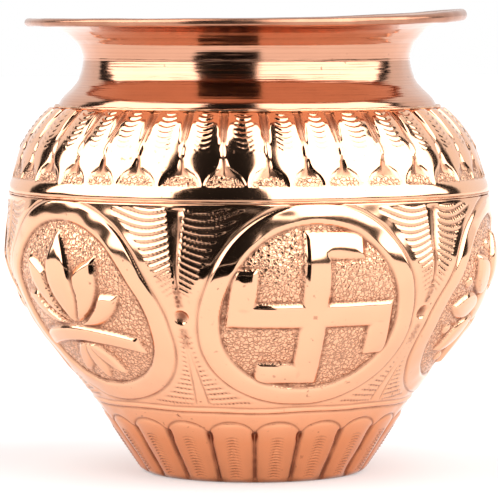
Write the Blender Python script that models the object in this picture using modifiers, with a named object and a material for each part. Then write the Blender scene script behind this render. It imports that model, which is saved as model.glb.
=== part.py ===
"""Kalash pot: a round copper water pot with a flared neck.

It is built as it is made on the bench, from three turned sheets: a lower bowl, a shoulder and a
neck that ends in a rolled lip. The plain lower edge of the shoulder and of the neck drops inside
the opening of the sheet below it, and a bead of brazing metal closes each lap on the outside.

Units are metres and +Z is up. The origin is the middle of the flat bottom, and -Y is the front.
"""

import math

import bpy
from mathutils import Vector
from mathutils.geometry import interpolate_bezier

# Driving dimensions.
SHEET = 0.0008
CLEARANCE = 0.0003
BASE_RADIUS = 0.0275
WIDEST_RADIUS = 0.0634
WIDEST_HEIGHT = 0.0653
SHOULDER_SEAM_HEIGHT = 0.0725
SHOULDER_SEAM_RADIUS = 0.0621
NECK_SEAM_HEIGHT = 0.0947
NECK_SEAM_RADIUS = 0.0500
NECK_RADIUS = 0.0423
NECK_HEIGHT = 0.1066
LIP_RADIUS = 0.0572
TOP_HEIGHT = 0.1180

# Smaller dimensions.
BASE_CORNER = 0.0020
LIP_BEAD_RADIUS = 0.0008
BRAZE_BEAD_RADIUS = 0.00045
LAP_LENGTH = 0.0035

# Fineness of the turned surfaces.
TURN_STEPS = 64
POINTS_PER_SPAN = 2
BEAD_SIDES = 6

COPPER = (0.83, 0.42, 0.27, 1.0)
BRAZE = (0.86, 0.55, 0.33, 1.0)


def clear_scene():
    for obj in list(bpy.data.objects):
        bpy.data.objects.remove(obj, do_unlink=True)


def new_collection(name):
    collection = bpy.data.collections.new(name)
    bpy.context.scene.collection.children.link(collection)
    return collection


def metal(name, colour, roughness):
    material = bpy.data.materials.new(name)
    material.use_nodes = True
    shader = material.node_tree.nodes["Principled BSDF"]
    shader.inputs["Base Color"].default_value = colour
    shader.inputs["Metallic"].default_value = 1.0
    shader.inputs["Roughness"].default_value = roughness
    material.diffuse_color = colour
    return material


def smooth_outline(knots):
    """Points (radius, height) of a smooth curve through the knots, both ends included."""
    points = [Vector((radius, height)) for radius, height in knots]
    slopes = [points[1] - points[0]]
    slopes += [(after - before) / 2 for before, after in zip(points, points[2:])]
    slopes.append(points[-1] - points[-2])
    outline = []
    for index in range(len(points) - 1):
        start, end = points[index], points[index + 1]
        handles = start + slopes[index] / 3, end - slopes[index + 1] / 3
        outline += interpolate_bezier(start, *handles, end, POINTS_PER_SPAN + 1)[:-1]
    outline.append(points[-1])
    return [(point.x, point.y) for point in outline]


def arc(centre, radius, start_degrees, end_degrees, steps):
    """Points (radius, height) along an arc of the section."""
    points = []
    for step in range(steps + 1):
        angle = math.radians(start_degrees + (end_degrees - start_degrees) * step / steps)
        points.append((centre[0] + radius * math.cos(angle), centre[1] + radius * math.sin(angle)))
    return points


def inner_side(outline, thickness):
    """The outline moved in by the thickness, square to it at each point. The outline runs down."""
    moved = []
    for index, (radius, height) in enumerate(outline):
        before = outline[max(index - 1, 0)]
        after = outline[min(index + 1, len(outline) - 1)]
        along = Vector((after[0] - before[0], after[1] - before[1])).normalized()
        moved.append((radius + along.y * thickness, height - along.x * thickness))
    return moved


def turned(name, section, closed, material, collection):
    """A solid turned round Z from its section, which runs down the outer side."""
    edges = [(index, index + 1) for index in range(len(section) - 1)]
    if closed:
        edges.append((len(section) - 1, 0))
    mesh = bpy.data.meshes.new(name)
    mesh.from_pydata([(radius, 0.0, height) for radius, height in section], edges, [])
    obj = bpy.data.objects.new(name, mesh)
    collection.objects.link(obj)
    mesh.materials.append(material)
    screw = obj.modifiers.new("Turn", "SCREW")
    screw.axis = "Z"
    screw.steps = TURN_STEPS
    screw.render_steps = TURN_STEPS
    screw.use_merge_vertices = True
    screw.merge_threshold = 0.00001
    screw.use_smooth_shade = True
    return obj


def lower_bowl_outline():
    """Outer side of the belly and base, from the seam down to the middle of the bottom."""
    side = smooth_outline([
        (SHOULDER_SEAM_RADIUS, SHOULDER_SEAM_HEIGHT - CLEARANCE),
        (WIDEST_RADIUS, WIDEST_HEIGHT),
        (WIDEST_RADIUS - 0.0010, WIDEST_HEIGHT - 0.0110),
        (WIDEST_RADIUS - 0.0057, WIDEST_HEIGHT - 0.0235),
        (WIDEST_RADIUS - 0.0147, WIDEST_HEIGHT - 0.0365),
        (BASE_RADIUS + 0.0139, 0.0197),
    ])
    flank_tilt = 56.5
    corner = arc((BASE_RADIUS - 0.0002, BASE_CORNER), BASE_CORNER, flank_tilt - 90.0, -90.0, 3)
    return side + corner + [(0.0, 0.0)]


def shoulder_outline():
    """Outer side of the shoulder, from the neck's seam down to its lap inside the bowl."""
    dome = smooth_outline([
        (NECK_SEAM_RADIUS + 0.0001, NECK_SEAM_HEIGHT - 0.0007),
        (NECK_SEAM_RADIUS + 0.0055, NECK_SEAM_HEIGHT - 0.0050),
        (NECK_SEAM_RADIUS + 0.0090, NECK_SEAM_HEIGHT - 0.0102),
        (SHOULDER_SEAM_RADIUS - 0.0003, SHOULDER_SEAM_HEIGHT + 0.0018),
    ])
    lap_radius = SHOULDER_SEAM_RADIUS - SHEET - CLEARANCE
    lap = [
        (lap_radius, SHOULDER_SEAM_HEIGHT + 0.0010),
        (lap_radius, SHOULDER_SEAM_HEIGHT - LAP_LENGTH),
    ]
    return dome + lap


def neck_outline():
    """Outer side of the neck, from under the lip's bead down to its lap inside the shoulder."""
    flare = smooth_outline([
        (LIP_RADIUS - 0.0017, TOP_HEIGHT - SHEET - 0.0002),
        (NECK_RADIUS + 0.0044, TOP_HEIGHT - 0.0037),
        (NECK_RADIUS + 0.0006, NECK_HEIGHT + 0.0040),
        (NECK_RADIUS, NECK_HEIGHT),
        (NECK_RADIUS + 0.0015, NECK_HEIGHT - 0.0053),
        (NECK_SEAM_RADIUS - 0.0010, NECK_SEAM_HEIGHT + 0.0007),
    ])
    lap_radius = NECK_SEAM_RADIUS - 0.0016
    lap = [
        (lap_radius, NECK_SEAM_HEIGHT - 0.0001),
        (lap_radius, NECK_SEAM_HEIGHT - LAP_LENGTH),
    ]
    return flare + lap


def shell(name, outline, material, collection):
    """A ring of sheet, open at its top and bottom."""
    section = outline + inner_side(outline, SHEET)[::-1]
    return turned(name, section, True, material, collection)


def make_lower_bowl(material, collection):
    """The bowl is one sheet, so its section runs from the axis up the inside and down the outside."""
    outline = lower_bowl_outline()
    inside = inner_side(outline, SHEET)[::-1]
    inside[0] = (0.0, SHEET)
    return turned("lower_bowl", inside + outline, False, material, collection)


def make_neck(material, collection):
    """The neck's sheet ends in a lip that is rolled down and hammered shut into a round bead."""
    outline = neck_outline()
    bead_centre = (LIP_RADIUS - LIP_BEAD_RADIUS, TOP_HEIGHT - LIP_BEAD_RADIUS)
    bead = arc(bead_centre, LIP_BEAD_RADIUS, 90.0, -150.0, BEAD_SIDES)
    section = bead + outline + inner_side(outline, SHEET)[::-1]
    return turned("neck_and_lip", section, True, material, collection)


def make_braze_bead(name, radius, height, material, collection):
    """A ring of brazing metal outside a lap. Its section is a full circle, taken clockwise."""
    section = arc((radius, height), BRAZE_BEAD_RADIUS, 90.0, -270.0, BEAD_SIDES)[:-1]
    return turned(name, section, True, material, collection)


def main():
    clear_scene()
    collection = new_collection("kalash_pot")
    make_lower_bowl(metal("bowl_copper", COPPER, 0.18), collection)
    shell("shoulder", shoulder_outline(), metal("shoulder_copper", COPPER, 0.18), collection)
    make_neck(metal("neck_copper", COPPER, 0.15), collection)
    shoulder_bead_radius = SHOULDER_SEAM_RADIUS - 0.0002
    shoulder_bead_height = SHOULDER_SEAM_HEIGHT + CLEARANCE + BRAZE_BEAD_RADIUS / 2
    make_braze_bead(
        "shoulder_seam_braze", shoulder_bead_radius, shoulder_bead_height,
        metal("shoulder_braze", BRAZE, 0.3), collection,
    )
    neck_bead_radius = NECK_SEAM_RADIUS - 0.0004
    make_braze_bead(
        "neck_seam_braze", neck_bead_radius, NECK_SEAM_HEIGHT,
        metal("neck_braze", BRAZE, 0.3), collection,
    )


main()
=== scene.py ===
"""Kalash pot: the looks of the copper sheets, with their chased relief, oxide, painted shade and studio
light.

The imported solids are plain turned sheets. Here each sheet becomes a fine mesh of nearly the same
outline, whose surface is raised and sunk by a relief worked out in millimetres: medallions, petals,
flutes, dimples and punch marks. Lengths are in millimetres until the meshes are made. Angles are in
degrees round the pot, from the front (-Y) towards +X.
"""

import math

import bpy
import numpy as np
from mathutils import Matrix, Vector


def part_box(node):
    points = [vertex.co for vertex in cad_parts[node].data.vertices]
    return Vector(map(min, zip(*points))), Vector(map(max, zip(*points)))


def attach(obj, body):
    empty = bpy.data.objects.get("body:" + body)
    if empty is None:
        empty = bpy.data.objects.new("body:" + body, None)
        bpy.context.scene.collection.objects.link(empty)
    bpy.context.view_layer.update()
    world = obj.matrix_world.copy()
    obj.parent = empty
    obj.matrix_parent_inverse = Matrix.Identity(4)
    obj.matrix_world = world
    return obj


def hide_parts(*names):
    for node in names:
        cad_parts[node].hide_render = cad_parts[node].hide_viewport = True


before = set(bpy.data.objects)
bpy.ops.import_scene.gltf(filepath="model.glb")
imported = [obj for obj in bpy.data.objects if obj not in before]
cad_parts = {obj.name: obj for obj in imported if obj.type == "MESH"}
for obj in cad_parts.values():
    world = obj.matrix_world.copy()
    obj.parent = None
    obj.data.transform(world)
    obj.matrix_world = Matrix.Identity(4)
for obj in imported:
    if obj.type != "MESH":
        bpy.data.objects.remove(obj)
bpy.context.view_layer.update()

MM = 0.001

# Driving sizes in millimetres, from the frame's solids.
BOWL_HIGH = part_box("lower_bowl")[1] / MM
SHOULDER_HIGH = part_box("shoulder")[1] / MM
NECK_LOW, NECK_HIGH = (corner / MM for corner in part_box("neck_and_lip"))
NECK_BEAD_LOW, NECK_BEAD_HIGH = (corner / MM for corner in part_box("neck_seam_braze"))
WIDEST_RADIUS = BOWL_HIGH.x
BOWL_TOP = BOWL_HIGH.z
SHOULDER_TOP = SHOULDER_HIGH.z
TOP = NECK_HIGH.z

# Outline of the turned sheets.
SHEET = 0.8
WIDEST_HEIGHT = 65.3
BASE_RADIUS = 27.5
BASE_CORNER = 2.0
SEAM_RADIUS = 62.1
NECK_SEAM_RADIUS = 50.0
NECK_RADIUS = 42.3
NECK_HEIGHT = 106.6
LIP_RADIUS = 57.2
LIP_BEAD = 1.15

# Fineness of the meshes: points round the pot, the distance between rows, and how many outer rows
# there are to one inner row.
COLUMNS = 1080
NECK_COLUMNS = 540
BOWL_STEP = 0.31
UPPER_STEP = 0.32
INNER_STRIDE = 4

# The belly's medallions: each is a disc in a ring, and the stray is how far its centre lies from
# an even sixth of a turn.
MEDALLIONS = 6
MEDALLION_STRAY = (0.0, 3.2, 2.0, 0.5, -1.5, -4.4)
MEDALLION_HEIGHT = 44.9
RING_OUTER = 28.8
RING_INNER = 23.3

# Other relief. A phase is the angle at which the first flute begins, or the first petal has its
# middle.
DIMPLE_HEIGHT = 44.3
SPANDREL_REACH = 17.0
RIDGE_HEIGHT = 19.7
FLUTES = 20
FLUTE_PHASE = 3.4
PETALS = 36
PETAL_PHASE = 3.6
SHOULDER_MM_PER_DEGREE = 1.05

# Tarnish, from 0 to 1, on the whole of the inside, the lip's bead and the brazing metal.
INSIDE_PATINA = 0.35
LIP_PATINA = 0.55
BRAZE_PATINA = 0.4

# The pot was raised by hand and leans: how far the axis stands to the camera's right at the
# bottom, and how much further left it moves with each millimetre of height.
LEAN_AT_BASE = 1.2
LEAN_SLOPE = 0.0172

# The camera stands to the left of the front medallion and looks slightly down.
CAMERA_TURN = -15.3
CAMERA_DISTANCE = 920.0
CAMERA_HEIGHT = 117.3
CAMERA_PITCH = 3.68
LENS = 256.5

BRIGHT_COPPER = (0.95, 0.555, 0.35, 1.0)
WARM_COPPER = (0.92, 0.49, 0.30, 1.0)
# Painted shade: the neck's copper is painted darker than the belly's.
SHADED_SPUN_COPPER = (0.74, 0.385, 0.25, 1.0)
SHADED_DEEP_COPPER = (0.65, 0.325, 0.205, 1.0)
# Painted shade: darker, redder copper for the foot, standing in for the shadowed table that it
# reflects.
BASE_SHADE_COPPER = (0.80, 0.325, 0.155, 1.0)
# Dark colour for oxide, and for painted shade in recesses, creases and low on the base.
TARNISH_AND_SHADE = (0.20, 0.065, 0.035, 1.0)
BRAZE_METAL = (0.92, 0.60, 0.38, 1.0)
WHITE = (1.0, 1.0, 1.0, 1.0)
TABLE_WHITE = (0.56, 0.54, 0.54, 1.0)
CARD_BLACK = (0.004, 0.004, 0.004, 1.0)

# The studio's light panels, seen from the pot: from and to (degrees round from the camera's own
# side), bottom and top (degrees up), and strength. The last two make one panel behind the pot.
PANELS = (
    (-113.0, -37.0, 5.5, 84.0, 3.4),
    (10.0, 109.0, 5.5, 84.0, 3.4),
    (120.0, 181.0, -9.0, 70.0, 1.0),
    (-181.0, -127.0, -9.0, 70.0, 1.0),
)
ROOM_LIGHT = 0.012


# ---------------------------------------------------------------- outlines


def smooth_curve(knots, per_span=40):
    """Points (radius, height) of a smooth curve through the knots, both ends included."""
    points = np.array(knots, float)
    slopes = np.empty_like(points)
    slopes[0] = points[1] - points[0]
    slopes[-1] = points[-1] - points[-2]
    slopes[1:-1] = (points[2:] - points[:-2]) / 2
    t = np.linspace(0, 1, per_span, endpoint=False)[:, None]
    spans = []
    for start, end, out, into in zip(points[:-1], points[1:], slopes[:-1], slopes[1:]):
        a, b = start + out / 3, end - into / 3
        spans.append(
            start * (1 - t) ** 3 + 3 * a * t * (1 - t) ** 2 + 3 * b * t**2 * (1 - t) + end * t**3
        )
    return np.vstack(spans + [points[-1:]])


def arc(centre, radius, start, end, steps=12):
    """Points (radius, height) along an arc of the section, from start to end in degrees."""
    angles = np.radians(np.linspace(start, end, steps + 1))
    return np.column_stack((centre[0] + radius * np.cos(angles), centre[1] + radius * np.sin(angles)))


def resample(curve, step):
    """The curve with evenly spaced points, about one step apart."""
    lengths = np.hypot(*np.diff(curve, axis=0).T)
    along = np.concatenate(([0.0], np.cumsum(lengths)))
    wanted = np.linspace(0, along[-1], max(int(round(along[-1] / step)), 2) + 1)
    return np.column_stack([np.interp(wanted, along, curve[:, axis]) for axis in (0, 1)])


def bowl_outline():
    """The outer side from the seam down to near the middle of the bottom."""
    side = smooth_curve([
        (SEAM_RADIUS, BOWL_TOP),
        (WIDEST_RADIUS - 1.0, WIDEST_HEIGHT + 3.0),
        (WIDEST_RADIUS - 0.75, WIDEST_HEIGHT - 1.0),
        (WIDEST_RADIUS - 0.3, WIDEST_HEIGHT - 5.5),
        (WIDEST_RADIUS - 0.2, WIDEST_HEIGHT - 8.5),
        (WIDEST_RADIUS - 0.6, WIDEST_HEIGHT - 11.3),
        (WIDEST_RADIUS - 1.45, WIDEST_HEIGHT - 14.0),
        (WIDEST_RADIUS - 2.85, WIDEST_HEIGHT - 17.0),
        (WIDEST_RADIUS - 4.8, WIDEST_HEIGHT - 21.0),
        (WIDEST_RADIUS - 6.7, WIDEST_HEIGHT - 24.8),
        (WIDEST_RADIUS - 9.3, WIDEST_HEIGHT - 28.8),
        (WIDEST_RADIUS - 12.3, WIDEST_HEIGHT - 32.8),
        (WIDEST_RADIUS - 15.3, WIDEST_HEIGHT - 36.8),
        (WIDEST_RADIUS - 18.5, WIDEST_HEIGHT - 40.8),
        (BASE_RADIUS + 13.9, RIDGE_HEIGHT),
    ], 12)
    corner = arc((BASE_RADIUS - 0.2, BASE_CORNER), BASE_CORNER, -33.5, -90.0)
    bottom = resample(np.array([corner[-1], (1.5, 0.0)]), 6.0)
    return np.vstack((resample(np.vstack((side, corner)), BOWL_STEP), bottom[1:]))


def shoulder_outline():
    """The outer side from the neck's seam down to the end of the lap inside the bowl."""
    dome = smooth_curve([
        (NECK_SEAM_RADIUS - 0.4, SHOULDER_TOP + 0.3),
        (NECK_SEAM_RADIUS + 4.7, SHOULDER_TOP - 4.3),
        (NECK_SEAM_RADIUS + 8.5, SHOULDER_TOP - 9.5),
        (SEAM_RADIUS - 0.1, BOWL_TOP + 0.9),
    ])
    lap = [(SEAM_RADIUS - 1.0, BOWL_TOP + 0.6), (SEAM_RADIUS - 1.1, BOWL_TOP - 3.2)]
    return resample(np.vstack((dome, lap)), UPPER_STEP)


def neck_outline():
    """The outer side from under the lip's bead down to the end of the lap inside the shoulder."""
    flare = smooth_curve([
        (LIP_RADIUS - 1.7, TOP - 1.2),
        (NECK_RADIUS + 5.4, TOP - 3.7),
        (NECK_RADIUS + 2.0, NECK_HEIGHT + 5.0),
        (NECK_RADIUS + 0.7, NECK_HEIGHT + 3.2),
        (NECK_RADIUS, NECK_HEIGHT - 0.3),
        (NECK_RADIUS + 1.5, NECK_HEIGHT - 5.3),
        (NECK_SEAM_RADIUS - 2.5, NECK_BEAD_HIGH.z + 2.1),
        (NECK_SEAM_RADIUS - 1.6, NECK_BEAD_HIGH.z + 0.9),
        (NECK_SEAM_RADIUS - 1.0, NECK_BEAD_HIGH.z - 0.3),
    ])
    lap = [(NECK_SEAM_RADIUS - 1.5, NECK_BEAD_HIGH.z - 0.6), (NECK_SEAM_RADIUS - 1.6, NECK_LOW.z)]
    return resample(np.vstack((flare, lap)), UPPER_STEP)


# ---------------------------------------------------------------- shaping helpers


def smoothstep(start, end, value):
    """0 up to the start and 1 from the end on, with an even ease between. It may run backwards."""
    t = np.clip((value - start) / (end - start), 0.0, 1.0)
    return t * t * (3.0 - 2.0 * t)


def groove(distance, half_width):
    """1 on a line, falling smoothly to 0 at half_width from it."""
    return 1.0 - smoothstep(0.0, half_width, np.abs(distance))


def turned_from(angles, centre):
    """Signed angle from a centre, from -180 to 180."""
    return (angles - centre + 180.0) % 360.0 - 180.0


def hashed(column, row, seed):
    """A fixed number from 0 to 1 for each whole-numbered cell."""
    value = np.sin(column * 127.1 + row * 311.7 + seed * 74.7) * 43758.5453
    return value - np.floor(value)


def scattered(x, y, pitch, seed):
    """Distance, in pitches, to the nearest of points scattered one to a square cell."""
    x, y = x / pitch, y / pitch
    cell_x, cell_y = np.floor(x), np.floor(y)
    nearest = np.full(np.broadcast(x, y).shape, 9.0)
    for step_x in (-1, 0, 1):
        for step_y in (-1, 0, 1):
            column, row = cell_x + step_x, cell_y + step_y
            point_x = column + 0.1 + 0.8 * hashed(column, row, seed)
            point_y = row + 0.1 + 0.8 * hashed(column, row, seed + 1)
            nearest = np.minimum(nearest, np.hypot(point_x - x, point_y - y))
    return nearest


def scales(rows, turn):
    """Overlapping scales, one to a row: each swells up to its turn and then drops, from -0.5 to
    0.5. Also how far along its row each place lies, from 0 to 1."""
    wave = rows - np.floor(rows)
    return smoothstep(0.0, turn, wave) * smoothstep(1.0, turn, wave) - 0.5, wave


def box_distance(x, y, left, right, low, high):
    """Signed distance to a rectangle, below 0 inside it."""
    across = np.maximum(left - x, x - right)
    up = np.maximum(low - y, y - high)
    return np.maximum(across, up)


def leaf_distance(x, y, base, tip, width):
    """Signed distance to a leaf with two pointed ends, below 0 inside it."""
    length = math.hypot(tip[0] - base[0], tip[1] - base[1])
    along_x, along_y = (tip[0] - base[0]) / length, (tip[1] - base[1]) / length
    along = (x - base[0]) * along_x + (y - base[1]) * along_y - length / 2
    across = np.abs((x - base[0]) * along_y - (y - base[1]) * along_x)
    bend = (length**2 + width**2) / (4 * width)
    return np.hypot(along, across + bend - width / 2) - bend


def blurred(relief, reach):
    """The relief averaged over a square of cells, which wraps round the pot but not up and down."""
    result = relief
    for axis in (0, 1):
        mode = "edge" if axis == 0 else "wrap"
        pads = [(reach, reach) if axis == side else (0, 0) for side in (0, 1)]
        padded = np.pad(result, pads, mode=mode)
        total = np.cumsum(padded, axis=axis)
        total = np.insert(total, 0, 0.0, axis=axis)
        count = 2 * reach + 1
        upper = np.take(total, range(count, total.shape[axis]), axis=axis)
        lower = np.take(total, range(0, total.shape[axis] - count), axis=axis)
        result = (upper - lower) / count
    return result


def plateau(distance, flank, height):
    """Height of a raised shape with sloping flanks, from the signed distance to its outline."""
    return height * smoothstep(0.0, flank, -distance)


# ---------------------------------------------------------------- relief of the belly


def swastika(x, y):
    """The auspicious right-facing swastika: four stems with hooks, each a quarter turn on."""
    reach, width, hook = 22.0, 7.6, 12.8
    distance = np.full(np.broadcast(x, y).shape, 99.0)
    for _ in range(4):
        stem = box_distance(x, y, -width / 2, width / 2, -width / 2, reach)
        arm = box_distance(x, y, 0.0, hook, reach - width, reach)
        distance = np.minimum(distance, np.minimum(stem, arm))
        x, y = -y, x
    crown = 0.4 * np.sin(np.radians(90.0) * np.clip(-distance / (width / 2), 0.0, 1.0))
    relief = plateau(distance, 1.5, 0.6) + crown - 0.15 * groove(distance, 0.5)
    return relief - 0.25 * (np.hypot(x, y) < 0.5)


# A lotus's petals from the back one to the front one: tilt in degrees, length and width.
LOTUS_PETALS = ((64, 17, 7.0), (-64, 17, 7.0), (34, 20, 8.0), (-34, 20, 8.0), (0, 22, 9.0))


def lotus(x, y):
    """A lotus in profile over a bar, with three sepals below the bar."""
    x, y = x / 1.2, (y - 1.0) / 1.15
    relief = np.zeros(np.broadcast(x, y).shape)
    for tilt, length, width in LOTUS_PETALS:
        lean = math.radians(tilt)
        tip = (length * math.sin(lean), -4.0 + length * math.cos(lean))
        distance = leaf_distance(x, y, (0.0, -4.5), tip, width)
        petal = plateau(distance, 1.6, 1.05) * (1.0 + 0.12 * np.clip(-distance, 0, 2.5))
        inside = distance < 0.35
        relief = np.where(inside, petal - 0.3 * groove(distance, 0.6), relief)
    bar = box_distance(x, y + 0.012 * x * x, -15.5, 15.5, -9.2, -4.2)
    relief = np.where(bar < 0, plateau(bar, 1.4, 1.1), relief - 0.3 * groove(bar, 0.5))
    for tilt in (-32, 0, 32):
        lean = math.radians(tilt)
        tip = (12.5 * math.sin(lean), -8.0 - 12.5 * math.cos(lean))
        sepal = leaf_distance(x, y, (0.0, -7.5), tip, 4.6)
        sepal = np.where(bar < 0.2, 9.0, sepal)
        relief = np.maximum(relief, plateau(sepal, 1.4, 1.0))
    return relief


def rosette(x, y):
    """An open flower of eight petals round a boss, with a bead between the petals' tips."""
    relief = np.zeros(np.broadcast(x, y).shape)
    for turn in range(8):
        lean = math.radians(45 * turn)
        ux, uy = math.sin(lean), math.cos(lean)
        distance = leaf_distance(x, y, (3.0 * ux, 3.0 * uy), (20.0 * ux, 20.0 * uy), 8.6)
        petal = plateau(distance, 1.5, 1.0) * (1.0 + 0.1 * np.clip(-distance, 0, 3))
        relief = np.maximum(relief, petal)
        relief -= 0.3 * groove(distance, 0.45)
        between = math.radians(45 * turn + 22.5)
        bead = np.hypot(x - 17.5 * math.sin(between), y - 17.5 * math.cos(between))
        relief = np.maximum(relief, 0.8 * np.sqrt(np.clip(1 - (bead / 1.5) ** 2, 0, 1)))
    centre = np.hypot(x, y)
    relief = np.where(centre < 5.2, 1.4 * np.sqrt(np.clip(1 - (centre / 6.5) ** 2, 0, 1)), relief)
    return relief - 0.4 * groove(centre - 5.2, 0.6)


EMBLEMS = (swastika, rosette, lotus)


def medallion_centre(index):
    return 360.0 / MEDALLIONS * index + MEDALLION_STRAY[index % MEDALLIONS]


def add_medallion(relief, ground, dirt_and_shade, x, y, index):
    """Writes one medallion into the relief, the stippled ground and the darkening, which its outline
    grooves get.
    """
    from_centre = np.hypot(x, y)
    inside = from_centre < RING_OUTER + 1.0
    px, py, pr = x[inside], y[inside], from_centre[inside]
    across = np.clip((pr - RING_INNER) / (RING_OUTER - RING_INNER), 0.0, 1.0)
    ring = 0.3 + 0.48 * across * (1.0 - across)
    ring -= 0.3 * smoothstep(0.2, 0.0, across) + 0.3 * smoothstep(0.86, 1.0, across)
    emblem = EMBLEMS[index % len(EMBLEMS)](px, py)
    stipple = scattered(px, py, 1.15, 10 * index + 5)
    flat = 1.0 - smoothstep(0.05, 0.3, emblem)
    disc = (emblem - 0.4) - flat * 0.3 * (np.minimum(stipple, 0.75) - 0.45)
    disc += 0.6 * (1.0 - (pr / RING_INNER) ** 2)
    level = np.where(pr < RING_INNER, disc, ring)
    outer_line, inner_line = groove(pr - RING_OUTER, 0.5), groove(pr - RING_INNER, 0.5)
    level -= 0.2 * (outer_line + inner_line)
    fade = smoothstep(RING_OUTER + 1.0, RING_OUTER + 0.4, pr)
    relief[inside] = relief[inside] * (1.0 - fade) + level * fade
    ground[inside] = np.where(pr < RING_INNER - 0.3, flat, 0.0)
    dirt_and_shade[inside] = np.maximum(dirt_and_shade[inside], 0.6 * np.maximum(outer_line, inner_line))


def hatch(x, down, pitch, slope, sag, seed):
    """Rows of small scales, each with a dotted line at its lower edge: their height, and where
    tarnish stays in the dots. A row runs down by the slope, and sags in its middle."""
    across = np.abs(x)
    rows = (down - slope * across - sag * np.sin(0.24 * across)) / pitch
    wave = rows - np.floor(rows)
    dots = 0.5 + 0.5 * np.cos(2 * math.pi * (across + 0.5 * hashed(np.floor(rows), seed, 3.0)))
    bead = groove(wave - 0.45, 0.34) * (0.45 + 0.55 * dots)
    line = groove(wave - 0.88, 0.24)
    return 0.32 * bead - 0.1 - 0.08 * dots * line, line * (0.25 + 0.75 * dots)


def upper_spandrel(x, down, rise, clear, seed):
    """A valley that tapers down from the seam, steeper on its right side, with hatching beside it:
    its relief and where tarnish stays."""
    taper = np.clip(1.0 - (down - 0.5) / 20.5, 0.0, 1.0)
    half_width = 0.35 + 2.1 * taper
    left_side = (half_width + x) / (1.4 * half_width)
    right_side = (half_width - x) / (0.6 * half_width)
    valley = np.clip(np.minimum(left_side, right_side), 0.0, 1.0) * (taper > 0)
    zone = smoothstep(4.5, 6.5, rise) * smoothstep(1.0, 1.7, down)
    beside = zone * smoothstep(0.0, 0.4, np.abs(x) - half_width) * smoothstep(2.2, 3.8, clear)
    rows, darkening = hatch(x, down, 1.52, 0.018 * (down - 2.0), 1.2, seed)
    return rows * beside - 0.55 * valley * zone**0.3, darkening * beside


def rough_marks(x, down, rise, seed):
    """Rough punch marks over and under the dimple: their relief and where tarnish stays."""
    over = groove(x, 1.5) * smoothstep(1.9, 3.0, rise) * smoothstep(9.5, 6.5, rise)
    under = groove(x, 1.7) * smoothstep(-8.5, -7.0, rise) * smoothstep(-2.6, -3.3, rise)
    knots = 0.5 - scattered(x, down, 1.2, seed + 20.0)
    return (over + under) * (0.9 * knots - 0.1), (1.6 * over + under) * (0.35 + knots)


def lower_spandrel(x, down, rise, clear, seed):
    """A stem that widens down to the ridge between two lines, with hatching beside it: its relief
    and where tarnish stays."""
    above_ridge = rise + DIMPLE_HEIGHT - RIDGE_HEIGHT
    from_stem = np.abs(x) - np.clip(1.75 - 0.085 * above_ridge, 0.0, 9.0)
    zone = smoothstep(1.2, 2.0, above_ridge) * smoothstep(-4.0, -6.0, rise)
    beside = zone * smoothstep(0.3, 0.7, from_stem) * smoothstep(1.2, 2.2, clear)
    rows, darkening = hatch(x, down, 1.55, -0.026 * (above_ridge + 0.7), 0.0, seed + 7)
    line = zone * groove(from_stem, 0.45) * smoothstep(2.2, 3.8, clear)
    return rows * beside - 0.3 * line, 1.4 * darkening * beside


def dimple(x, rise):
    """A small round hollow with a faint rim."""
    from_centre = np.hypot(x, 1.12 * rise)
    hollow = np.clip(1.0 - (from_centre / 2.15) ** 2, 0.0, 1.0)
    return 0.12 * groove(from_centre - 2.35, 0.4) - 0.95 * hollow


def add_spandrel(relief, dirt_and_shade, x, surface, clear, seed):
    """Adds the space between two medallions. Clear is the distance to the nearest medallion."""
    down, rise = surface["down"], surface["height"] - DIMPLE_HEIGHT
    upper, upper_dirt = upper_spandrel(x, down, rise, clear, seed)
    rough, rough_dirt = rough_marks(x, down, rise, seed)
    lower, lower_dirt = lower_spandrel(x, down, rise, clear, seed)
    near = np.abs(x) < SPANDREL_REACH
    relief += np.where(near, upper + lower + rough + dimple(x, rise), 0.0)
    dirt_and_shade += np.where(near, upper_dirt + lower_dirt + rough_dirt, 0.0)


def flutes(surface, angles):
    """Round-topped lobes round the base, each with a column of fine crescents: their relief and where
    the copper is darkened, by oxide in the crescents and the groove round the lobes' tops, and by
    painted shade in the pits, along the lobes' sides, low on the lobes and along the bottom edge."""
    height, radius, down = surface["height"], surface["radius"], surface["down"]
    cell = 360.0 / FLUTES
    place = (angles - FLUTE_PHASE) / cell
    number = np.floor(place)
    side = 2.0 * (place - number) - 1.0
    x = side * np.radians(cell / 2.0) * radius
    edge = np.sqrt(np.clip(1.0 - side**2, 0.0, 1.0))
    top = 12.5 + 3.8 * edge + 0.5 * (hashed(number % FLUTES, 1.0, 2.0) - 0.5)
    inside = smoothstep(-0.2, 1.3, top - height)
    lobe = 1.3 * edge - 0.9
    column = groove(x, 1.9) ** 0.5 * smoothstep(13.2, 12.2, height) * smoothstep(1.0, 2.0, height)
    crescents, wave = scales((down - 0.2 * x * x) / 0.9, 0.7)
    corner = ((1.0 - np.abs(side)) * radius * 0.16) ** 2 / 0.4 + (height - 12.6) ** 2 / 1.6
    pit = 0.8 * np.exp(-corner)
    # Oxide in the crescents and the groove round the lobes' tops; painted shade in the pits between the
    # lobes, along their sides, low on the lobes and in a line along the bottom edge.
    dirt_and_shade = 0.8 * column * groove(wave - 0.85, 0.3) * inside + 1.2 * pit
    dirt_and_shade += 0.7 * groove(height - top, 0.55)
    dirt_and_shade += 0.9 * smoothstep(0.78, 1.0, np.abs(side)) * inside
    dirt_and_shade += 0.35 * smoothstep(11.0, 3.0, height) * (1.0 - edge)
    dirt_and_shade += 0.12 * smoothstep(17.0, 9.0, height) + 0.5 * smoothstep(1.8, 0.4, height)
    relief = (lobe + 0.5 * column * crescents) * inside - 0.25 * groove(height - top, 0.5) - pit
    return relief * smoothstep(0.15, 1.3, height), dirt_and_shade


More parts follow.
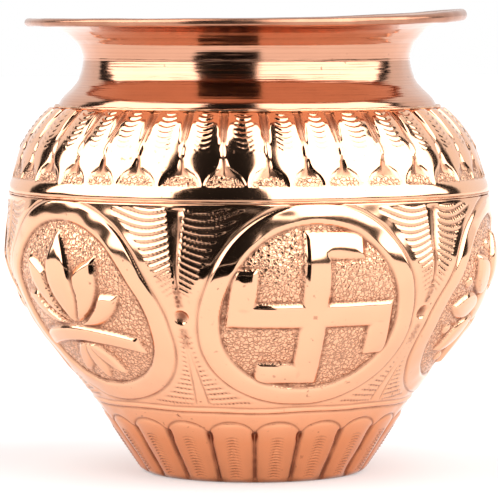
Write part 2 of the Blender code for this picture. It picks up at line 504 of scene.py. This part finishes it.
def bowl_relief(surface, angles):
    """The bowl's outside, in rows by columns: its relief, where the ground is stippled, and where
    tarnish stays."""
    height, radius, down = surface["height"], surface["radius"], surface["down"]
    shape = (len(height), len(angles[0]))
    relief, ground, dirt_and_shade = np.zeros(shape), np.zeros(shape), np.zeros(shape)
    centre_down = np.interp(-MEDALLION_HEIGHT, -height[:, 0], down[:, 0])
    y = np.broadcast_to(centre_down - down, shape)
    clear = np.full(shape, 99.0)
    for index in range(MEDALLIONS):
        x = radius * np.radians(turned_from(angles, medallion_centre(index)))
        clear = np.minimum(clear, np.hypot(x, y) - RING_OUTER)
    for index in range(MEDALLIONS):
        middle = (medallion_centre(index) + medallion_centre(index + 1)) / 2
        x = radius * np.radians(turned_from(angles, middle))
        add_spandrel(relief, dirt_and_shade, x, surface, clear, index)
    for index in range(MEDALLIONS):
        x = radius * np.radians(turned_from(angles, medallion_centre(index)))
        add_medallion(relief, ground, dirt_and_shade, np.broadcast_to(x, shape).copy(), y, index)
    ridge = height - RIDGE_HEIGHT
    wander = 0.15 * np.sin(np.radians(5.0 * angles)) + 0.1 * np.sin(np.radians(11.0 * angles + 40.0))
    relief += 0.3 * groove(ridge - wander, 0.6) - 0.2 * groove(ridge - wander - 0.75, 0.4)
    relief -= 0.3 * groove(ridge - wander + 0.8, 0.45)
    flute_relief, flute_dirt_and_shade = flutes(surface, angles)
    relief += flute_relief * (ridge < 0)
    dirt_and_shade += flute_dirt_and_shade * (ridge < 0)
    return relief, ground, dirt_and_shade


# ---------------------------------------------------------------- relief of the shoulder


def petal_half_width(rise):
    """Half the width of a petal, as a share of half its cell, at each rise above the bowl's top.
    A petal is pointed at its foot, widest a third of the way up, and narrows gently to the neck."""
    rises = (4.5, 5.3, 6.3, 7.3, 8.1, 8.9, 9.9, 11.1, 12.1, 13.1, 14.6, 16.6, 18.6, 20.6, 22.3)
    widths = (0.10, 0.17, 0.27, 0.42, 0.62, 0.79, 0.88, 0.93, 0.92, 0.89, 0.84, 0.79, 0.75, 0.72, 0.70)
    return np.interp(rise, rises, widths)


def petal_cells(surface, angles):
    """Each place's cross distance from the middle of its petal, half the width of its cell, and the
    petal's number. The petals are spaced and tilted a little unevenly."""
    rise = surface["height"] - BOWL_TOP
    cell = 360.0 / PETALS
    stray = 0.66 * np.sin(np.radians(7.0 * angles + 30.0)) + 0.42 * np.sin(np.radians(13.0 * angles))
    tilt = 0.05 * np.sin(np.radians(5.0 * angles)) * (13.1 - rise)
    place = (angles + stray + tilt - PETAL_PHASE) / cell + 0.5
    number = np.floor(place)
    half_cell = np.radians(cell / 2.0) * surface["radius"]
    return (2.0 * (place - number) - 1.0) * half_cell, half_cell, number % PETALS


def shoulder_relief(surface, angles):
    """The shoulder's outside: its relief, where the ground is stippled, and where it is darkened: oxide
    and painted shade in the recesses, and painted shade in the hollows between the petals and along the
    crescents.

    Petals stand side by side over a plain band. Between two of them a stippled half-moon lies at
    the bottom, a hollow narrows up to where they nearly touch, and a ridged strip widens above.
    """
    rise = surface["height"] - BOWL_TOP
    x, half_cell, number = petal_cells(surface, angles)
    half = petal_half_width(rise + 0.5 * (hashed(number, 3.0, 1.0) - 0.5)) * half_cell
    outside = np.abs(x) - half
    gap = np.maximum(half_cell - half, 0.35)
    away = np.clip(outside / gap, 0.0, 1.0)
    across = np.clip(np.abs(x) / np.maximum(half, 0.1), 0.0, 1.0)
    petal = 0.15 + 0.22 * (1.0 - across**2)

    upper = smoothstep(10.0, 12.2, rise)
    ridge = gap * (0.5 - 0.3 * smoothstep(12.5, 19.0, rise))
    strip = ridge * away + smoothstep(0.0, 0.3, away) * (0.3 - 0.75 * smoothstep(11.6, 16.2, rise))
    between_petals = 0.15 - 0.75 * away * (1.0 - upper) + strip * upper

    moon_top = 4.6 + 2.1 * np.sqrt(np.clip(1.0 - ((half_cell - np.abs(x)) / 4.3) ** 2, 0.0, 1.0))
    moon_top += 0.5 * (hashed(number, 5.0, 2.0) - 0.5)
    moon = smoothstep(0.4, 0.8, outside) * smoothstep(moon_top + 0.4, moon_top - 0.4, rise)
    stipple = scattered(angles * SHOULDER_MM_PER_DEGREE, surface["down"], 0.78, 4.0)
    ground = -0.1 + 0.36 * (np.minimum(stipple, 0.7) - 0.4)

    relief = np.where(outside < 0, petal, between_petals) * (1.0 - moon) + ground * moon
    relief -= 0.14 * groove(outside, 0.4) * (1.0 - upper)
    column = smoothstep(2.15, 1.55, np.abs(x)) * smoothstep(12.1, 13.3, rise)
    column = column * smoothstep(21.6, 20.9, rise)
    crescents, wave = scales((rise - 0.17 * x * x) / 1.12, 0.85)
    relief += 0.2 * column * crescents
    relief += 0.7 * smoothstep(13.0, 21.0, rise) * (1.0 - 0.9 * smoothstep(0.0, 0.5, outside))

    zone = smoothstep(4.1, 4.7, rise) * smoothstep(22.1, 21.4, rise)
    band = np.clip(1.0 - ((rise - 2.6) / 2.2) ** 2, 0.0, 1.0)
    above_seam = smoothstep(0.4, 0.8, rise)
    relief = (relief * zone + 0.45 * band) * above_seam
    # Painted shade in the hollows between the petals and along the crescents' arcs.
    hollow = 0.75 * smoothstep(0.1, 0.5, away) * (1.0 - upper) * (1.0 - moon) * zone
    crescent_shade = 0.45 * column * groove(wave - 0.9, 0.2)
    return relief, moon * zone * above_seam, np.maximum(hollow, crescent_shade)


# ---------------------------------------------------------------- meshes


def surface_of(outline):
    """Columns of radius, height, distance down the outline and outward normal for an outline."""
    step = np.diff(outline, axis=0)
    length = np.hypot(*step.T)
    tangent = np.gradient(outline, axis=0)
    tangent /= np.hypot(*tangent.T)[:, None]
    return {
        "radius": outline[:, :1],
        "height": outline[:, 1:],
        "down": np.concatenate(([0.0], np.cumsum(length)))[:, None],
        "out": -tangent[:, 1:],
        "up": tangent[:, :1],
    }


def placed(surface, angles, level):
    """Points of the surface raised by the level, in rows by columns by three, in millimetres."""
    radius = surface["radius"] + level * surface["out"]
    height = surface["height"] + level * surface["up"]
    turn = np.radians(angles)
    return np.stack((radius * np.sin(turn), -radius * np.cos(turn), height + 0.0 * turn), axis=-1)


def wrinkled(surface, angles, amount):
    """Slow unevenness left by the hammer, in millimetres."""
    turn, down = np.radians(angles), surface["down"]
    waves = (
        np.sin(9 * turn + 0.11 * down) * np.sin(0.21 * down + 1.0)
        + 0.8 * np.sin(14 * turn - 0.17 * down + 2.0)
        + 0.7 * np.sin(23 * turn + 0.31 * down + 0.7) * np.sin(0.37 * down)
        + 0.5 * np.sin(37 * turn + 2.1) * np.sin(0.53 * down + 0.4)
    )
    return amount * waves


def mesh_object(name, rows, patina_and_shade, stippled, closed):
    """A mesh from rows of points that go round the pot, made to lean as the pot does. A closed
    section joins its last row to its first, and an open one is capped at both ends by a point on
    the axis."""
    row_count, columns = rows.shape[:2]
    points = rows.reshape(-1, 3)
    lean = LEAN_AT_BASE - LEAN_SLOPE * points[:, 2]
    turn = math.radians(CAMERA_TURN)
    points = points + lean[:, None] * np.array([math.cos(turn), math.sin(turn), 0.0])
    first = np.arange(row_count - 1 + closed)[:, None] * columns
    second = (first + columns) % (row_count * columns)
    here = np.arange(columns)
    after = (here + 1) % columns
    quads = np.stack((first + here, second + here, second + after, first + after), axis=-1)
    corners = quads.ravel()
    sizes = np.full(len(corners) // 4, 4)
    if not closed:
        top, bottom = np.full(columns, len(points)), np.full(columns, len(points) + 1)
        last = (row_count - 1) * columns
        first_fan = np.stack((here, after, top), axis=-1)
        last_fan = np.stack((last + here, bottom, last + after), axis=-1)
        corners = np.concatenate((corners, first_fan.ravel(), last_fan.ravel()))
        sizes = np.concatenate((sizes, np.full(2 * columns, 3)))
        caps = np.array([[0.0, 0.0, rows[0, 0, 2]], [0.0, 0.0, rows[-1, 0, 2]]])
        points = np.vstack((points, caps))
    mesh = bpy.data.meshes.new(name)
    mesh.vertices.add(len(points))
    mesh.vertices.foreach_set("co", (points * MM).astype(np.float32).ravel())
    mesh.loops.add(len(corners))
    mesh.loops.foreach_set("vertex_index", corners.astype(np.int32))
    mesh.polygons.add(len(sizes))
    starts = np.concatenate(([0], np.cumsum(sizes)[:-1]))
    mesh.polygons.foreach_set("loop_start", starts.astype(np.int32))
    mesh.polygons.foreach_set("use_smooth", np.ones(len(sizes), bool))
    mesh.update(calc_edges=True)
    for label, values in (("patina_and_shade", patina_and_shade), ("stippled", stippled)):
        spread = np.zeros(len(points), np.float32)
        spread[: values.size] = values.ravel()
        mesh.attributes.new(label, "FLOAT", "POINT").data.foreach_set("value", spread)
    obj = bpy.data.objects.new(name, mesh)
    bpy.context.scene.collection.objects.link(obj)
    return obj


def recesses(relief, reach=5):
    """How deep each place lies below what is round it, from 0 to 1."""
    return np.clip((blurred(relief, reach) - relief) / 0.45, 0.0, 1.0)


def inner_rows(surface, angles, relief):
    """Every few rows of the inside, bottom to top, with the relief showing through softly. Also
    which of the outer rows they lie behind."""
    last = len(relief) - 1
    picked = np.unique(np.append(np.arange(0, last + 1, INNER_STRIDE), last))[::-1]
    through = blurred(relief, 4)
    inside = {name: values[picked] for name, values in surface.items()}
    return placed(inside, angles, 0.85 * through[picked] - SHEET), picked


def make_bowl():
    angles = np.linspace(0.0, 360.0, COLUMNS, endpoint=False)[None, :]
    surface = surface_of(bowl_outline())
    relief, ground, dirt_and_shade = bowl_relief(surface, angles)
    on_wall = smoothstep(0.0, 1.5, surface["height"]) * smoothstep(0.0, 3.0, surface["down"])
    relief = relief + wrinkled(surface, angles, 0.065) * on_wall
    outer = placed(surface, angles, relief)
    outer[:, :, 2] = np.maximum(outer[:, :, 2], 0.0)
    inner, picked = inner_rows(surface, angles, relief)
    rows = np.concatenate((inner, outer))
    # Darkening: oxide in the grooves, and painted shade in the recesses, between the flutes and low on
    # them.
    darkening = np.maximum(recesses(relief), np.clip(dirt_and_shade, 0.0, 1.0))
    patina_and_shade = np.concatenate((np.full((len(picked), COLUMNS), INSIDE_PATINA), darkening))
    stippled = np.concatenate((np.zeros((len(picked), COLUMNS)), ground))
    return mesh_object("bowl_chased", rows, patina_and_shade, stippled, closed=False)


def make_shoulder():
    angles = np.linspace(0.0, 360.0, COLUMNS, endpoint=False)[None, :]
    surface = surface_of(shoulder_outline())
    relief, ground, dirt_and_shade = shoulder_relief(surface, angles)
    relief = relief + wrinkled(surface, angles, 0.03)
    outer = placed(surface, angles, relief)
    inner, picked = inner_rows(surface, angles, relief)
    # Darkening: oxide and painted shade in the recesses, and painted shade between the petals and along
    # the crescents.
    darkening = np.maximum(recesses(relief), dirt_and_shade)
    patina_and_shade = np.concatenate((darkening, np.full((len(picked), COLUMNS), INSIDE_PATINA)))
    stippled = np.concatenate((ground, np.zeros((len(picked), COLUMNS))))
    return mesh_object("shoulder_chased", np.concatenate((outer, inner)), patina_and_shade, stippled, closed=True)


def lip_lift(angles):
    """How far the lip is bent up or down round the mouth, in millimetres: hand-held soft sheet."""
    return 2.5 * np.exp(-((turned_from(angles, CAMERA_TURN + 95.0) / 50.0) ** 2)) - 0.75


def spin_lines(surface):
    """Fine rings that the spinning tool left, strongest round the narrow part."""
    height = surface["height"]
    strength = 0.006 + 0.02 * np.exp(-(((height - NECK_HEIGHT + 0.8) / 3.2) ** 2))
    rings = np.sin(height * 7.3) + np.sin(height * 11.9 + 1.0) + 0.8 * np.sin(height * 4.1 + 2.0)
    return strength * rings


def make_neck():
    angles = np.linspace(0.0, 360.0, NECK_COLUMNS, endpoint=False)[None, :]
    outline = neck_outline()
    bead = arc((LIP_RADIUS - LIP_BEAD, TOP - LIP_BEAD), LIP_BEAD, 90.0, -150.0)
    surface = surface_of(outline)
    relief = spin_lines(surface) + wrinkled(surface, angles, 0.02)
    outer = placed(surface, angles, relief)
    lip_surface = surface_of(bead)
    lip = placed(lip_surface, angles, wrinkled(lip_surface, angles, 0.04))
    inner = placed({key: value[::-1] for key, value in surface.items()}, angles, relief[::-1] - SHEET)
    rows = np.concatenate((lip, outer, inner))
    reach = np.clip((rows[:, :, 2] - NECK_HEIGHT) / (TOP - NECK_HEIGHT), 0.0, 1.0) ** 2
    rows[:, :, 2] += reach * lip_lift(angles)
    streaks = np.sin(9.1 * surface["height"]) + np.sin(14.3 * surface["height"] + 1.0)
    patina_and_shade = np.zeros(rows.shape[:2])
    patina_and_shade[: len(lip)] = LIP_PATINA
    # Streaks of oxide, which also darken the neck as painted shade.
    patina_and_shade[len(lip): len(lip) + len(outer)] = 0.06 + 0.12 * np.clip(streaks, 0.0, 1.0)
    return mesh_object("neck_spun", rows, patina_and_shade, np.zeros(rows.shape[:2]), closed=True)


def make_bead(name, radius, height, size):
    """A run of brazing metal round a seam, a little uneven in width."""
    angles = np.linspace(0.0, 360.0, NECK_COLUMNS, endpoint=False)[None, :]
    section = arc((radius, height), size, 90.0, -270.0, 14)[:-1]
    surface = surface_of(np.vstack((section[-1:], section, section[:1])))
    surface = {key: value[1:-1] for key, value in surface.items()}
    turn = np.radians(angles)
    uneven = 0.05 * np.sin(17 * turn) + 0.04 * np.sin(41 * turn + 1.0) + 0.03 * np.sin(67 * turn)
    rows = placed(surface, angles, uneven)
    flat = np.zeros(rows.shape[:2])
    return mesh_object(name, rows, flat + BRAZE_PATINA, flat, closed=True)


# ---------------------------------------------------------------- materials


def link(tree, source, target):
    tree.links.new(source, target)


def node(tree, kind, **settings):
    made = tree.nodes.new(kind)
    for name, value in settings.items():
        setattr(made, name, value)
    return made


def math_node(tree, operation, first, second):
    made = node(tree, "ShaderNodeMath", operation=operation)
    for socket, value in zip(made.inputs, (first, second)):
        if isinstance(value, (int, float)):
            socket.default_value = value
        else:
            link(tree, value, socket)
    return made.outputs[0]


def colour_mix(tree, factor, first, second):
    made = node(tree, "ShaderNodeMix", data_type="RGBA")
    for socket, value in ((made.inputs[0], factor), (made.inputs[6], first), (made.inputs[7], second)):
        if isinstance(value, (int, float, tuple)):
            socket.default_value = value
        else:
            link(tree, value, socket)
    return made.outputs[2]


def noise(tree, coordinates, scale, detail=3.0, stretch=(1.0, 1.0, 1.0)):
    mapping = node(tree, "ShaderNodeMapping")
    mapping.inputs["Scale"].default_value = stretch
    link(tree, coordinates, mapping.inputs["Vector"])
    made = node(tree, "ShaderNodeTexNoise")
    made.inputs["Scale"].default_value = scale
    made.inputs["Detail"].default_value = detail
    link(tree, mapping.outputs[0], made.inputs["Vector"])
    return made.outputs[0]


def bump(tree, height, distance, strength, normal=None):
    made = node(tree, "ShaderNodeBump")
    made.inputs["Distance"].default_value = distance
    made.inputs["Strength"].default_value = strength
    link(tree, height, made.inputs["Height"])
    if normal is not None:
        link(tree, normal, made.inputs["Normal"])
    return made.outputs[0]


def map_range(tree, value, start, end, low=0.0, high=1.0, interpolation="LINEAR"):
    """The value brought from start..end to low..high, and held at those ends."""
    made = node(tree, "ShaderNodeMapRange", interpolation_type=interpolation)
    link(tree, value, made.inputs["Value"])
    for name, number in (("From Min", start), ("From Max", end), ("To Min", low), ("To Max", high)):
        made.inputs[name].default_value = number
    return made.outputs["Result"]


def creases(tree, place):
    """Dark curved lines between the little facets that the matting punch leaves, 1 on a line."""
    wobble = node(tree, "ShaderNodeTexNoise")
    wobble.inputs["Scale"].default_value = 900.0
    wobble.inputs["Detail"].default_value = 1.0
    link(tree, place, wobble.inputs["Vector"])
    push = node(tree, "ShaderNodeVectorMath", operation="MULTIPLY_ADD")
    link(tree, wobble.outputs["Color"], push.inputs[0])
    push.inputs[1].default_value = (0.0011, 0.0011, 0.0011)
    link(tree, place, push.inputs[2])
    cells = node(tree, "ShaderNodeTexVoronoi", feature="DISTANCE_TO_EDGE")
    cells.inputs["Scale"].default_value = 1000.0
    link(tree, push.outputs[0], cells.inputs["Vector"])
    return map_range(tree, cells.outputs["Distance"], 0.0, 0.16, 1.0, 0.0)


def specks(tree, place):
    """Small spots of oxide here and there."""
    spots = map_range(tree, noise(tree, place, 620.0, 1.0), 0.70, 0.76)
    patches = map_range(tree, noise(tree, place, 60.0, 2.0), 0.45, 0.60, 0.0, 0.6)
    return math_node(tree, "MULTIPLY", spots, patches)


def painted_base_shade(tree, place):
    """1 at the foot of the pot, falling to 0 above it: painted shade, where the copper is painted
    darker and redder for the shadowed table that the foot reflects.
    """
    split = node(tree, "ShaderNodeSeparateXYZ")
    link(tree, place, split.inputs[0])
    return map_range(tree, split.outputs["Z"], 11.0 * MM, 25.0 * MM, 1.0, 0.0)


def metal(name, bright, warm, roughness, spun):
    """Polished metal: slow changes of tone, oxide and painted shade darkening the recesses and creases,
    a foot painted darker and redder as painted shade, and fine tool marks.
    """
    material = bpy.data.materials.new(name)
    material.use_nodes = True
    tree = material.node_tree
    shader = tree.nodes["Principled BSDF"]
    shader.inputs["Metallic"].default_value = 1.0
    place = node(tree, "ShaderNodeTexCoord").outputs["Object"]
    patina_and_shade = node(tree, "ShaderNodeAttribute", attribute_name="patina_and_shade").outputs["Fac"]
    stippled = node(tree, "ShaderNodeAttribute", attribute_name="stippled").outputs["Fac"]
    punched = math_node(tree, "MULTIPLY", creases(tree, place), stippled)
    tone = colour_mix(tree, noise(tree, place, 35.0), bright, warm)
    # Painted shade: the foot is painted darker and redder.
    tone = colour_mix(tree, painted_base_shade(tree, place), tone, BASE_SHADE_COPPER)
    # Darkening from the mesh: oxide in grooves and hollows, with painted shade in the recesses, between
    # petals and low on the flutes.
    uneven = math_node(tree, "ADD", noise(tree, place, 220.0), 0.35)
    wear_and_shade = math_node(tree, "MULTIPLY", patina_and_shade, uneven)
    # Painted shade in the creases between the punch marks.
    wear_and_shade = math_node(tree, "MAXIMUM", wear_and_shade, math_node(tree, "MULTIPLY", punched, 0.6))
    wear_and_shade = math_node(tree, "MAXIMUM", wear_and_shade, specks(tree, place))
    wear_and_shade = math_node(tree, "MINIMUM", wear_and_shade, 0.92)
    link(tree, colour_mix(tree, wear_and_shade, tone, TARNISH_AND_SHADE), shader.inputs["Base Color"])
    rough = math_node(tree, "MULTIPLY_ADD", wear_and_shade, 0.3)
    rough.node.inputs[2].default_value = roughness
    link(tree, rough, shader.inputs["Roughness"])
    normal = bump(tree, punched, -0.12 * MM, 1.0)
    if spun:
        rings = noise(tree, place, 500.0, 4.0, (0.02, 0.02, 2.0))
        normal = bump(tree, rings, 0.25 * MM, 0.5, normal)
    else:
        scratches = noise(tree, place, 500.0, 2.0, (1.0, 1.0, 0.35))
        normal = bump(tree, scratches, 0.03 * MM, 0.35, normal)
    link(tree, normal, shader.inputs["Normal"])
    return material


# ---------------------------------------------------------------- stage


def between(tree, value, low, high):
    """1 where the value lies between low and high, with soft edges two degrees wide."""
    above = map_range(tree, value, low - 1.0, low + 1.0, interpolation="SMOOTHSTEP")
    below = map_range(tree, value, high + 1.0, high - 1.0, interpolation="SMOOTHSTEP")
    return math_node(tree, "MULTIPLY", above, below)


def studio_world():
    """A dark room with large soft panels at both sides of the camera and a weaker one behind the
    pot. The camera itself sees plain white round the pot."""
    world = bpy.data.worlds.new("studio")
    bpy.context.scene.world = world
    world.use_nodes = True
    tree = world.node_tree
    tree.nodes.clear()
    direction = node(tree, "ShaderNodeTexCoord").outputs["Generated"]
    turn = node(tree, "ShaderNodeVectorRotate", rotation_type="Z_AXIS")
    turn.inputs["Angle"].default_value = -math.radians(CAMERA_TURN)
    link(tree, direction, turn.inputs["Vector"])
    split = node(tree, "ShaderNodeSeparateXYZ")
    link(tree, turn.outputs[0], split.inputs[0])
    toward = math_node(tree, "MULTIPLY", split.outputs["Y"], -1.0)
    round_to = math_node(tree, "ARCTAN2", split.outputs["X"], toward)
    round_to = math_node(tree, "MULTIPLY", round_to, 180.0 / math.pi)
    rise = math_node(tree, "ARCSINE", split.outputs["Z"], 0.0)
    rise = math_node(tree, "MULTIPLY", rise, 180.0 / math.pi)
    light = ROOM_LIGHT
    for start, end, bottom, top, strength in PANELS:
        panel = math_node(tree, "MULTIPLY", between(tree, round_to, start, end), strength)
        panel = math_node(tree, "MULTIPLY", panel, between(tree, rise, bottom, top))
        light = math_node(tree, "ADD", panel, light)
    seen = node(tree, "ShaderNodeLightPath").outputs["Is Camera Ray"]
    background = node(tree, "ShaderNodeBackground")
    link(tree, colour_mix(tree, seen, light, WHITE), background.inputs["Color"])
    output = node(tree, "ShaderNodeOutputWorld")
    link(tree, background.outputs[0], output.inputs["Surface"])


def stage_sheet(name, corners, colour, roughness, glow):
    """A flat matt sheet, which may glow a little."""
    mesh = bpy.data.meshes.new(name)
    mesh.from_pydata(corners, [], [(0, 1, 2, 3)])
    sheet = bpy.data.objects.new(name, mesh)
    bpy.context.scene.collection.objects.link(sheet)
    material = bpy.data.materials.new(name)
    material.use_nodes = True
    shader = material.node_tree.nodes["Principled BSDF"]
    shader.inputs["Base Color"].default_value = colour
    shader.inputs["Roughness"].default_value = roughness
    shader.inputs["Specular IOR Level"].default_value = 0.0
    shader.inputs["Emission Color"].default_value = WHITE
    shader.inputs["Emission Strength"].default_value = glow
    mesh.materials.append(material)
    return sheet


def make_floor():
    """A white table, in metres."""
    reach = 6.0
    corners = [(-reach, -reach, 0.0), (reach, -reach, 0.0), (reach, reach, 0.0), (-reach, reach, 0.0)]
    floor = stage_sheet("floor", corners, TABLE_WHITE, roughness=0.9, glow=0.30)


def make_table_edge():
    """A dark card on the table, from near the pot to past the camera. Only reflections see it. Its
    corners are metres to the camera's right and towards the camera."""
    turn = math.radians(CAMERA_TURN)
    corners = []
    for right, toward in ((-0.11, 0.16), (0.028, 0.16), (0.40, 2.2), (-1.65, 2.2)):
        x = right * math.cos(turn) + toward * math.sin(turn)
        y = right * math.sin(turn) - toward * math.cos(turn)
        corners.append((x, y, 0.5 * MM))
    card = stage_sheet("table_edge", corners, CARD_BLACK, roughness=1.0, glow=0.0)
    card.visible_camera = False
    card.visible_diffuse = False
    card.visible_shadow = False


def make_camera():
    data = bpy.data.cameras.new("camera")
    data.lens = LENS
    camera = bpy.data.objects.new("camera", data)
    bpy.context.scene.collection.objects.link(camera)
    turn = math.radians(CAMERA_TURN)
    distance = CAMERA_DISTANCE * MM
    camera.location = (distance * math.sin(turn), -distance * math.cos(turn), CAMERA_HEIGHT * MM)
    camera.rotation_euler = (math.radians(90.0 - CAMERA_PITCH), 0.0, turn)
    bpy.context.scene.camera = camera


# ---------------------------------------------------------------- the scene


def finish_piece(piece, material, cad_node):
    piece.data.materials.append(material)
    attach(piece, "root")
    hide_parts(cad_node)


def main():
    copper = metal("chased_copper", BRIGHT_COPPER, WARM_COPPER, 0.10, spun=False)
    shaded_spun_copper = metal("shaded_spun_copper", SHADED_SPUN_COPPER, SHADED_DEEP_COPPER, 0.09, spun=True)
    braze = metal("braze_metal", BRAZE_METAL, WARM_COPPER, 0.16, spun=False)
    finish_piece(make_bowl(), copper, "lower_bowl")
    finish_piece(make_shoulder(), copper, "shoulder")
    finish_piece(make_neck(), shaded_spun_copper, "neck_and_lip")
    lower_bead = make_bead("lower_seam_bead", SEAM_RADIUS - 0.25, BOWL_TOP + 0.45, 0.32)
    finish_piece(lower_bead, braze, "shoulder_seam_braze")
    upper_bead_height = (NECK_BEAD_LOW.z + NECK_BEAD_HIGH.z) / 2
    upper_bead = make_bead("neck_seam_bead", NECK_SEAM_RADIUS - 0.5, upper_bead_height, 0.45)
    finish_piece(upper_bead, braze, "neck_seam_braze")
    make_floor()
    make_table_edge()
    studio_world()
    make_camera()
    bpy.context.scene.view_settings.view_transform = "Standard"


main()
